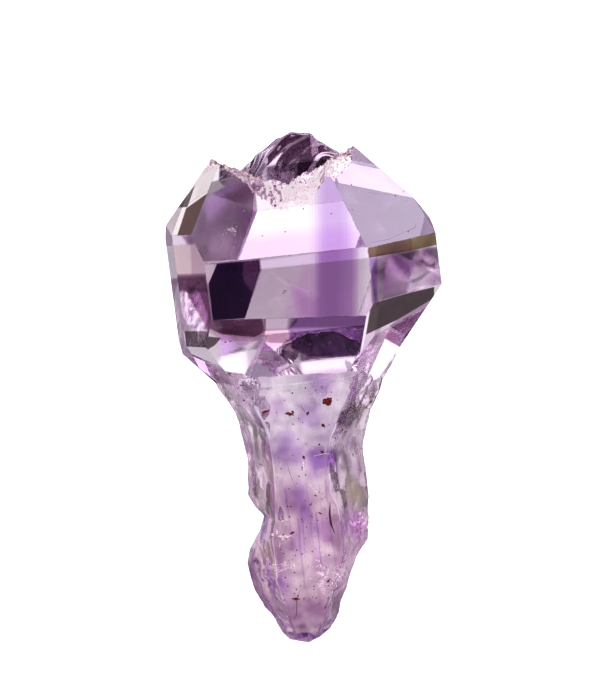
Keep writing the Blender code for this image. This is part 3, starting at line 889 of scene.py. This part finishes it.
def rim_film(point):
    """Tint and roughness of the broken rim, stained by iron towards its two peaks."""
    floor = along(FLOOR_LINE, point.x).lerp(along(WALL_FOOT_LINE, point.x), 0.5)
    # the back wall, behind the floor, takes its tint with painted shade
    if point.y > floor.y:
        return wall_tint_and_shade(point), 0.0
    stain = clamp((point.z - STAIN_START) / STAIN_RISE)
    mottle = noise.noise(point / STAIN_SIZE)
    stain *= STAIN_MOTTLE[0] + STAIN_MOTTLE[1] * mottle
    if point.x > 0.0:
        stain *= RIGHT_STAIN
    if point.x < EDGE_END:
        edge = 1.0 - (point - along(RIM_LINE, point.x)).length / EDGE_STAIN
        stain = max(stain, edge * (EDGE_MOTTLE[0] + EDGE_MOTTLE[1] * mottle))
    return between(RIM_TINT, RUST_TINT, stain), RIM_ETCH


def on_rim(point):
    """Whether a point of the hollow lies on the broken rim in front of its floor."""
    rim = along(RIM_LINE, point.x)
    back = rim.lerp(along(FLOOR_LINE, point.x), RIM_BACK).y
    front = rim.lerp(along(LIP_LINE, point.x), RIM_FRONT).y
    return front < point.y < back and abs(point.x) < RIM_HALF_WIDTH


def outline_sides(outline, normal):
    """A point on each side of a convex outline, and the way out of it there."""
    corners = [Vector(corner) for corner in outline]
    middle = sum(corners, Vector()) / len(corners)
    sides = []
    for start, end in zip(corners, corners[1:] + corners[:1]):
        outward = (end - start).cross(normal).normalized()
        if (middle - start).dot(outward) > 0.0:
            outward = -outward
        sides.append((start, outward))
    return sides


def on_face(middle, normal, area, across, distance):
    """Whether a small face is part of one of the crystal's flat faces."""
    near = abs(middle.dot(across) - distance) < FACE_REACH
    return near and (normal.dot(across) > SAME_WAY or area < SLIVER)


def zone_and_light_layers():
    """What each layer of the colour zones and the painted light and shade lets through, and the sides of
    its outline, for each face.

    A patch with a soft edge is made of several layers, each a little wider than the one before.
    """
    layers = {}
    for name, zones_and_light in ZONES_AND_PAINTED_LIGHT.items():
        layers[name] = []
        for through, soft, outline in zones_and_light:
            sides = outline_sides(outline, PLANES[name][0])
            steps = SOFT_STEPS if soft else 1
            share = [part ** (1.0 / steps) for part in through]
            for step in range(steps):
                shift = soft * (2.0 * (step + 0.5) / steps - 1.0)
                moved = [(start + outward * shift, outward) for start, outward in sides]
                layers[name].append((share, moved))
    return layers


def imprint_zones_and_light(data, layers):
    """Cut the outlines of the colour zones and the painted light and shade into the flat faces; the
    shape stays the same.
    """
    mesh = bmesh.new()
    mesh.from_mesh(data)
    for name, zones_and_light in layers.items():
        plane = PLANES[name]
        flat = [
            face for face in mesh.faces
            if on_face(face.calc_center_median(), face.normal, face.calc_area(), *plane)
        ]
        for _, sides in zones_and_light:
            inside = flat
            for start, outward in sides:
                parts = {part for face in inside for part in (*face.verts, *face.edges)}
                cut = bmesh.ops.bisect_plane(
                    mesh, geom=inside + list(parts), dist=CUT_TOLERANCE,
                    plane_co=start, plane_no=outward,
                )
                pieces = [part for part in cut["geom"] if isinstance(part, bmesh.types.BMFace)]
                known = set(flat)
                flat = flat + [face for face in pieces if face not in known]
                inside = [
                    face for face in pieces
                    if (face.calc_center_median() - start).dot(outward) <= 0.0
                ]
    mesh.to_mesh(data)
    mesh.free()


def zone_and_light_tint(zones_and_light, base, point):
    """Tint of a flat face at one point, with its painted light and shade, as the square of what the
    patches let through.
    """
    tint = list(base)
    for share, sides in zones_and_light:
        if all((point - start).dot(outward) <= 0.0 for start, outward in sides):
            tint = [part * through ** 2 for part, through in zip(tint, share)]
    return [min(1.0, part) for part in tint]


def mark_faces(data, layers):
    """Mark flat faces and note the tint, painted light and shade included, and the etched roughness of
    each small face.
    """
    data.attributes.new("tint", "FLOAT_COLOR", "FACE")
    data.attributes.new("etch", "FLOAT", "FACE")
    data.attributes.new("clouded", "FLOAT", "FACE")
    tint, etch = data.attributes["tint"].data, data.attributes["etch"].data
    clouded = data.attributes["clouded"].data
    for polygon in data.polygons:
        middle, normal = polygon.center, polygon.normal
        flat = False
        for name, plane in PLANES.items():
            if on_face(middle, normal, polygon.area, *plane):
                # the face's colour, with its painted shade and painted highlights
                colour = zone_and_light_tint(layers.get(name, []), FACE_TINTS_AND_SHADE.get(name, CLEAR), middle)
                rough = FACE_ETCH.get(name, 0.0)
                cloudy = FACE_CLOUDS.get(name, OTHER_CLOUDS)
                flat = True
        if not flat and middle.z < STEM_TOP:
            colour, rough = stem_tint_and_painted_light(middle, normal)
            cloudy = STEM_CLOUDS_SHARE
        elif not flat:
            colour, rough = rim_film(middle)
            cloudy = OTHER_CLOUDS
        polygon.use_smooth = not flat
        tint[polygon.index].color = (*colour, 1.0)
        etch[polygon.index].value = rough
        clouded[polygon.index].value = cloudy


def sharp_edges(data):
    """Both ends of every edge between two flat faces, and the way into the crystal there."""
    sides = {}
    for polygon in data.polygons:
        if not polygon.use_smooth:
            for key in polygon.edge_keys:
                sides.setdefault(key, []).append(polygon.normal.copy())
    edges = []
    for (first, last), normals in sides.items():
        if len(normals) == 2 and normals[0].dot(normals[1]) < SHARP_TURN:
            inward = -(normals[0] + normals[1]).normalized()
            edges.append((data.vertices[first].co.copy(), data.vertices[last].co.copy(), inward))
    return edges


def zone_material(name, through, depth):
    """Clear colour that lets this much light through a layer this many millimetres deep."""
    material = bpy.data.materials.new(name)
    material.use_nodes = True
    material.node_tree.nodes.remove(material.node_tree.nodes["Principled BSDF"])
    loss = [-math.log(part) / (depth * MILLIMETRE) for part in through]
    absorption(material, [1.0 - part / max(loss) for part in loss], max(loss))
    return material


def inside_piece(name, mesh, material):
    """Put a piece that is sealed in the crystal in its place."""
    item = piece(name, mesh, material)
    item.data.transform(PLACING)
    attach(item, "root")


def build_crystal():
    """The crystal with its colour zones and painted light and shade; gives its sharp edges and the spots
    on its broken rim.
    """
    crystal = piece("quartz_crystal", crystal_head())
    combine(crystal, piece("hollow_cutter", hollow_cutter()), "DIFFERENCE")
    combine(crystal, piece("stem", crystal_stem()), "UNION")
    layers = zone_and_light_layers()
    imprint_zones_and_light(crystal.data, layers)
    mark_faces(crystal.data, layers)
    edges = sharp_edges(crystal.data)
    spots = [
        (polygon.center.copy(), polygon.normal.copy()) for polygon in crystal.data.polygons
        if polygon.use_smooth and polygon.center.z > STEM_TOP and on_rim(polygon.center)
    ]
    crystal.data.transform(PLACING)
    crystal.data.materials.clear()
    crystal.data.materials.append(quartz_material())
    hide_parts("scepter_crystal")
    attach(crystal, "root")
    return edges, spots


# Small things in and on the crystal


def dark_mineral(name, colour):
    return plain_material(name, {"Base Color": (*colour, 1.0), **MINERAL})


def gas_material(name):
    """Gas sealed in quartz bends light the other way round."""
    settings = {"Roughness": GAS_ROUGHNESS, "Transmission Weight": 1.0, "IOR": 1.0 / QUARTZ_IOR}
    return plain_material(name, settings)


def sugar_material():
    """Milky crushed quartz, stained pink by iron."""
    return plain_material("sugar_quartz", SUGAR)


def milk_and_glow_material():
    """Fine bubbles and healed cracks look milky; the faint emission on them is a painted glow."""
    return plain_material("milky_glowing_veil", MILK_AND_GLOW)


def cloud(mesh, place, sizes, seed):
    """A closed shape that thins out to nothing at its outline, so its colour fades there."""
    ball = bmesh.ops.create_icosphere(mesh, subdivisions=4, radius=1.0)
    along_x, into_y, up_z = sizes
    for vert in ball["verts"]:
        edge = CLOUD_OUTLINE
        for height, pace, offset in CLOUD_WAVES:
            edge += height * noise.noise(vert.co * pace + Vector((seed, offset, 0.0)))
        shape = Vector((vert.co.x * along_x, vert.co.y ** 3 * into_y, vert.co.z * up_z))
        vert.co = shape * min(CLOUD_LIMIT, edge) + Vector(place)


def lump(mesh, place, sizes, turn, rough, seed, detail=2):
    """An uneven rounded grain; its sizes run along, up and into the stem's front face."""
    spin = Matrix.Rotation(math.radians(turn), 3, "Y")
    ball = bmesh.ops.create_icosphere(mesh, subdivisions=detail, radius=1.0)
    along_x, up_z, into_y = sizes
    for vert in ball["verts"]:
        swell = 1.0 + rough * noise.noise(vert.co * 1.7 + Vector((seed, 0.0, 0.0)))
        shape = Vector((vert.co.x * along_x, vert.co.y * into_y, vert.co.z * up_z)) * swell
        vert.co = spin @ shape + Vector(place)


def bridge(mesh, rings):
    """Join a row of four-cornered rings into one closed solid."""
    for ring, after in zip(rings, rings[1:]):
        for j in range(4):
            mesh.faces.new((ring[j], ring[(j + 1) % 4], after[(j + 1) % 4], after[j]))
    mesh.faces.new(rings[0][::-1])
    mesh.faces.new(rings[-1])


def tube(mesh, points, width):
    """A thin closed needle through some points, pointed at both ends."""
    rings = []
    for index, point in enumerate(points):
        ahead = Vector(points[min(index + 1, len(points) - 1)])
        behind = Vector(points[max(index - 1, 0)])
        across = (ahead - behind).cross(Vector((0.0, 1.0, 0.0))).normalized()
        other = (ahead - behind).cross(across).normalized()
        taper = NEEDLE_TIP if index in (0, len(points) - 1) else 1.0
        reach = taper * width / 2
        rings.append([
            mesh.verts.new(Vector(point) + (across * a + other * b) * reach)
            for a, b in ((1, 0), (0, 1), (-1, 0), (0, -1))
        ])
    bridge(mesh, rings)


def crack(mesh, points, depth):
    """A thin closed gap that runs into the crystal from a line of points."""
    rings = []
    for index, point in enumerate(points):
        wave = Vector((CRACK_WAVE, 0.0, 0.0)) * math.sin(2.0 * index)
        inner = Vector(point) + Vector((0.0, depth, CRACK_SLOPE * depth)) + wave * depth
        gap = Vector((CRACK_GAP / 2, 0.0, CRACK_GAP / 2))
        rings.append([
            mesh.verts.new(place) for place in
            (Vector(point) - gap, Vector(point) + gap, inner + gap, inner - gap)
        ])
    bridge(mesh, rings)


def striations():
    """Narrow upright growth bands in the lower stem."""
    chance = random.Random(17)
    mesh = bmesh.new()
    across = STRIATION_RANGE[0]
    while across < STRIATION_RANGE[1]:
        width = chance.uniform(*STRIATION_WIDTH)
        top, bottom = chance.uniform(*STRIATION_TOP), chance.uniform(*STRIATION_FOOT)
        front, deep = chance.uniform(*STRIATION_FRONT), chance.uniform(*STRIATION_BACK)
        cube = bmesh.ops.create_cube(mesh, size=1.0)
        for vert in cube["verts"]:
            lean = 0.25 * (vert.co.z + 0.5)
            vert.co.x = across + width * (vert.co.x + 0.5) * (0.3 + lean) + 0.2 * lean
            vert.co.y = front + (deep - front) * (vert.co.y + 0.5)
            vert.co.z = bottom + (top - bottom) * (vert.co.z + 0.5)
        across += width + chance.uniform(*STRIATION_GAP)
    return mesh


def rim_grains(spots):
    """Crushed grains that cling to the broken rim, brown with iron towards its two peaks."""
    chance = random.Random(11)
    clean, brown = bmesh.new(), bmesh.new()
    for place, normal in spots:
        near_peak = min((place - Vector(peak)).length for peak in PEAKS)
        if chance.random() > GRAIN_SHARE + PEAK_SHARE * math.exp(-near_peak / STAIN_REACH):
            continue
        edge = (place - along(RIM_LINE, place.x)).length
        stain = EDGE_CHANCE if place.x < EDGE_END and edge < EDGE_STAIN else STAIN_CHANCE
        stained = chance.random() < stain + math.exp(-near_peak / STAIN_REACH)
        size = GRAIN_SIZE * chance.uniform(*GRAIN_SPREAD) ** 2
        sizes = [size * chance.uniform(*GRAIN_SHAPE) for _ in range(3)]
        if stained:
            sizes = [RUST_SHRINK * side for side in sizes]
        target = brown if stained else clean
        middle = place + normal * GRAIN_LIFT * size
        turn, seed = chance.uniform(0, 180), chance.uniform(0, 90)
        lump(target, middle, sizes, turn, ANGULAR, seed, detail=1)
    inside_piece("sugar_grains", clean, sugar_material())
    inside_piece("rust_grains", brown, dark_mineral("rust", RUST))


def under_face(face, point, depth):
    """A place this deep under one point of a face."""
    normal, distance = PLANES[face]
    return Vector(point) + normal * (distance - Vector(point).dot(normal) - depth)


def face_specks(name, groups, sizes, material):
    chance = random.Random(3)
    mesh = bmesh.new()
    for face, points in groups.items():
        for point in points:
            size = chance.uniform(*sizes)
            shape = [size * chance.uniform(*SPECK_SHAPE) for _ in range(3)]
            place = under_face(face, point, SPECK_DEPTH)
            lump(mesh, place, shape, chance.uniform(0, 180), ANGULAR, chance.uniform(0, 90))
    inside_piece(name, mesh, material)


def growth_lines():
    mesh = bmesh.new()
    for points in GROWTH_LINES:
        route = [under_face(GROWTH_FACE, point, 2 * GROWTH_WIDTH) for point in points]
        tube(mesh, route, GROWTH_WIDTH)
    bmesh.ops.recalc_face_normals(mesh, faces=mesh.faces)
    inside_piece("growth_lines", mesh, gas_material("line_gas"))


def edge_chips(edges):
    """Fine worn chips just inside the sharp edges."""
    chance = random.Random(5)
    mesh = bmesh.new()
    for start, end, inward in edges:
        run = (end - start).length
        turn = (end - start).to_track_quat("X", "Z").to_matrix()
        for index in range(int(run / CHIP_STEP)):
            share = (index + chance.random()) * CHIP_STEP / run
            length, width = chance.uniform(*CHIP_LENGTH), chance.uniform(*CHIP_WIDTH)
            if chance.random() > CHIP_SHARE or share > 1.0:
                continue
            middle = start.lerp(end, share) + inward * CHIP_DEPTH
            ball = bmesh.ops.create_icosphere(mesh, subdivisions=1, radius=1.0)
            for vert in ball["verts"]:
                shape = Vector((vert.co.x * length, vert.co.y * width, vert.co.z * width))
                vert.co = turn @ shape + middle
    inside_piece("edge_chips", mesh, gas_material("chip_gas"))


def inside_stem(place, size):
    """Whether a bubble of this size lies well inside the stem."""
    left, _, _, right, front, _ = station_at(place[2])
    inside = left + size + BUBBLE_MARGIN < place[0] < right - size - BUBBLE_MARGIN
    return inside and place[1] > front + size + BUBBLE_COVER


def stem_inclusions():
    chance = random.Random(7)
    for index, (place, sizes, through) in enumerate(STEM_CLOUDS, 1):
        mesh = bmesh.new()
        cloud(mesh, place, sizes, index)
        name = f"violet_cloud_{index}"
        inside_piece(name, mesh, zone_material(name, through, 2 * sizes[1]))
    flecks = bmesh.new()
    for index, (place, length, width, turn) in enumerate(FLECKS):
        lump(flecks, place, (length, width, FLECK_THICKNESS), turn, ANGULAR, index, detail=3)
    for index in range(SPECK_COUNT):
        height = chance.uniform(*SPECK_HEIGHTS)
        left, front_left, front_right, right, front, _ = station_at(height)
        across = chance.uniform(left + SPECK_MARGINS[0], right - SPECK_MARGINS[1])
        near = front
        if across < front_left:
            near += (STEM_SIDE_DEPTH - front) * (front_left - across) / (front_left - left)
        if across > front_right:
            near += (STEM_SIDE_DEPTH - front) * (across - front_right) / (right - front_right)
        place = (across, near + SPECK_COVER + SPECK_REACH * chance.random() ** 2, height)
        size = chance.uniform(*SPECK_SIZES)
        lump(flecks, place, (size, size, size), 0, BLUNT, index, detail=1)
    inside_piece("hematite_flecks", flecks, dark_mineral("hematite", HEMATITE))
    needles = bmesh.new()
    for width, points in NEEDLES:
        tube(needles, points, width)
    bmesh.ops.recalc_face_normals(needles, faces=needles.faces)
    inside_piece("goethite_needles", needles, dark_mineral("goethite", GOETHITE))
    bubbles = bmesh.new()
    for middle, spread, number, small, large in VEILS:
        for _ in range(number):
            place = [m + chance.gauss(0.0, 0.5) * w for m, w in zip(middle, spread)]
            size = small + (large - small) * chance.random() ** 2
            if inside_stem(place, size) or place[2] > STEM_TOP:
                lump(bubbles, place, (size, size, size), 0, ROUND, 1.0)
    inside_piece("bubble_veils", bubbles, milk_and_glow_material())
    gaps = bmesh.new()
    for points, depth in CRACKS:
        crack(gaps, points, depth)
    bmesh.ops.recalc_face_normals(gaps, faces=gaps.faces)
    inside_piece("open_cracks", gaps, milk_and_glow_material())
    zone = zone_material("striation", STRIATION, STRIATION_DEPTH)
    inside_piece("violet_striations", striations(), zone)


# Floor, light and camera


def world_light():
    """Even light with brighter and darker patches, as seen through the crystal."""
    world = bpy.data.worlds.new("studio")
    world.use_nodes = True
    tree = world.node_tree
    place = new_node(tree, "ShaderNodeTexCoord", {}).outputs["Generated"]
    colour = (*WORLD_BASE, 1.0)
    turn = PLACING.to_3x3().normalized()
    for azimuth, elevation, inner, outer, light in SKY_PATCHES:
        inputs = {0: place, 1: turn @ face_normal(azimuth, elevation)}
        dot = new_node(tree, "ShaderNodeVectorMath", inputs, operation="DOT_PRODUCT")
        inputs = {
            "Value": dot.outputs["Value"],
            "From Min": math.cos(math.radians(outer)), "From Max": math.cos(math.radians(inner)),
        }
        fade = new_node(tree, "ShaderNodeMapRange", inputs, interpolation_type="SMOOTHSTEP")
        colour = mix(tree, fade.outputs["Result"], colour, (*light, 1.0))
    rays = new_node(tree, "ShaderNodeLightPath", {}).outputs
    outside = product(tree, rays["Is Glossy Ray"], rays["Is Reflection Ray"])
    colour = mix(tree, outside, colour, (*MIRRORED, 1.0))
    colour = mix(tree, rays["Is Camera Ray"], colour, (*BACKDROP, 1.0))
    tree.links.new(colour, tree.nodes["Background"].inputs["Color"])
    bpy.context.scene.world = world


def floor_sheet():
    mesh = bmesh.new()
    bmesh.ops.create_grid(mesh, x_segments=1, y_segments=1, size=FLOOR_HALF_SIZE)
    sheet = piece("floor", mesh, plain_material("pale_floor", PALE_FLOOR))
    sheet.visible_transmission = False
    sheet.visible_glossy = False


def soft_light(name, place, size, power):
    light = bpy.data.lights.new(name, "AREA")
    light.shape = "RECTANGLE"
    light.size = light.size_y = size
    light.energy = power
    item = bpy.data.objects.new(name, light)
    item.location = place
    item.rotation_euler = Vector(place).to_track_quat("Z", "Y").to_euler()
    item.visible_transmission = False
    item.visible_glossy = False
    bpy.context.scene.collection.objects.link(item)


sharp, rim = build_crystal()
rim_grains(rim)
face_specks("pale_specks", PALE_SPECKS, PALE_SIZES, sugar_material())
face_specks("red_specks", RED_SPECKS, RED_SIZES, dark_mineral("rust_speck", RUST_SPECK))
growth_lines()
edge_chips(sharp)
stem_inclusions()
world_light()
floor_sheet()
for lamp in LAMPS:
    soft_light(*lamp)

camera = bpy.data.objects.new("camera", bpy.data.cameras.new("camera"))
camera.location = CAMERA_PLACE
camera.rotation_euler = [math.radians(angle) for angle in CAMERA_TURN]
camera.data.lens = CAMERA_LENS
camera.data.clip_start = CAMERA_NEAR
bpy.context.scene.collection.objects.link(camera)
bpy.context.scene.camera = camera

scene = bpy.context.scene
scene.view_settings.view_transform = "Standard"
scene.cycles.use_denoising = True
scene.cycles.max_bounces = 32
scene.cycles.transmission_bounces = 24
scene.cycles.glossy_bounces = 24
scene.cycles.transparent_max_bounces = 32
